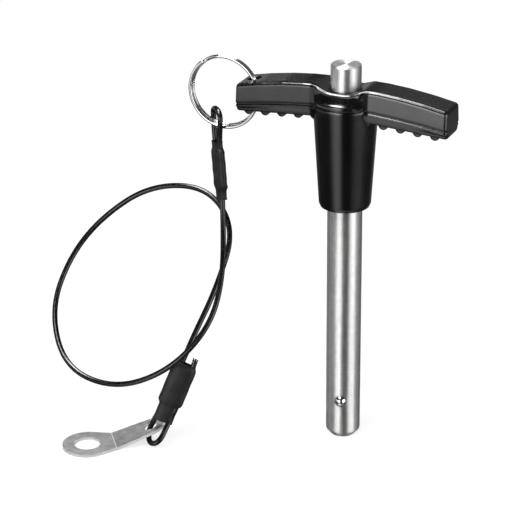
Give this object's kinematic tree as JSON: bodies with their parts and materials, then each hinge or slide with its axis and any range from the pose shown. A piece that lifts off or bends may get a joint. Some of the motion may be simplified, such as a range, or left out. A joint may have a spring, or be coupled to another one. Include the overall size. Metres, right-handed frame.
{
  "type": "hitch pin",
  "caption": "T-handle ball-lock hitch pin: round steel shank with spring-loaded locking balls and push button, and a coated wire-rope lanyard from a split ring to a flat mounting tab.",
  "frame": {"origin": "on the pin's axis in the plane of the handle hub's lower face, the shoulder that stops against the bracket", "axes": "+Z along the pin towards the push button, X along the handle's arms with the split ring on the -X arm, -Y towards the front"},
  "size_m": [0.153, 0.0692, 0.1451],
  "materials": {
    "handle_plastic": "moulded black, fine grain with a low sheen",
    "pin_steel": "centreless-ground stainless, bright",
    "button_steel": "turned stainless, bright",
    "spring_steel": "drawn wire",
    "ball_steel": "polished bearing ball",
    "ring_steel": "bright drawn wire",
    "cable_coating": "black coating over stranded wire rope",
    "ferrule_aluminium": "crimped, hidden under the sleeve",
    "shrink_sleeve": "black shrink sleeve, matte",
    "tab_steel": "stamped stainless strip, tumbled"
  },
  "bodies": {
    "grip": {"handle": "handle_plastic", "shank": "pin_steel", "return_spring": "spring_steel"},
    "plunger": {"push_button": "button_steel", "spindle": "pin_steel"},
    "lock_ball_front": {"ball_front": "ball_steel"},
    "lock_ball_rear": {"ball_rear": "ball_steel"},
    "ring": {"split_ring": "ring_steel"},
    "lanyard": {"lanyard_cable": "cable_coating", "upper_ferrule": "ferrule_aluminium", "lower_ferrule": "ferrule_aluminium", "upper_sleeve": "shrink_sleeve", "lower_sleeve": "shrink_sleeve"},
    "tab": {"mounting_tab": "tab_steel"}
  },
  "joints": [
    {"name": "button_push", "type": "slide", "parent": "grip", "child": "plunger", "axis": [0, 0, 1], "range_m": [-0.004, 0], "stiffness_N_per_m": 2000, "springref_m": 0.003, "deforming": ["return_spring"]},
    {"name": "ball_front_retract", "type": "slide", "parent": "grip", "child": "lock_ball_front", "axis": [-0.2164, 0.9763, 0], "range_m": [0, 0.001]},
    {"name": "ball_rear_retract", "type": "slide", "parent": "grip", "child": "lock_ball_rear", "axis": [0.2164, -0.9763, 0], "range_m": [0, 0.001]},
    {"name": "ring_swing", "type": "hinge", "parent": "grip", "child": "ring", "pos_m": [-0.035, 0, 0.037], "axis": [0, 0, 1], "range_deg": [-90, 75]},
    {"name": "lanyard_swing", "type": "hinge", "parent": "ring", "child": "lanyard", "pos_m": [-0.0505, 0, 0.0242], "axis": [0.9682, 0, -0.25], "range_deg": [-45, 45]},
    {"name": "tab_swivel", "type": "hinge", "parent": "lanyard", "child": "tab", "pos_m": [-0.06371, -0.03375, -0.08672], "axis": [-0.2402, -0.181, 0.9537], "range_deg": [-40, 40]}
  ],
  "couplings": [
    {"joint": "ball_front_retract", "follows": "button_push", "ratio": -0.25},
    {"joint": "ball_rear_retract", "follows": "button_push", "ratio": -0.25}
  ]
}
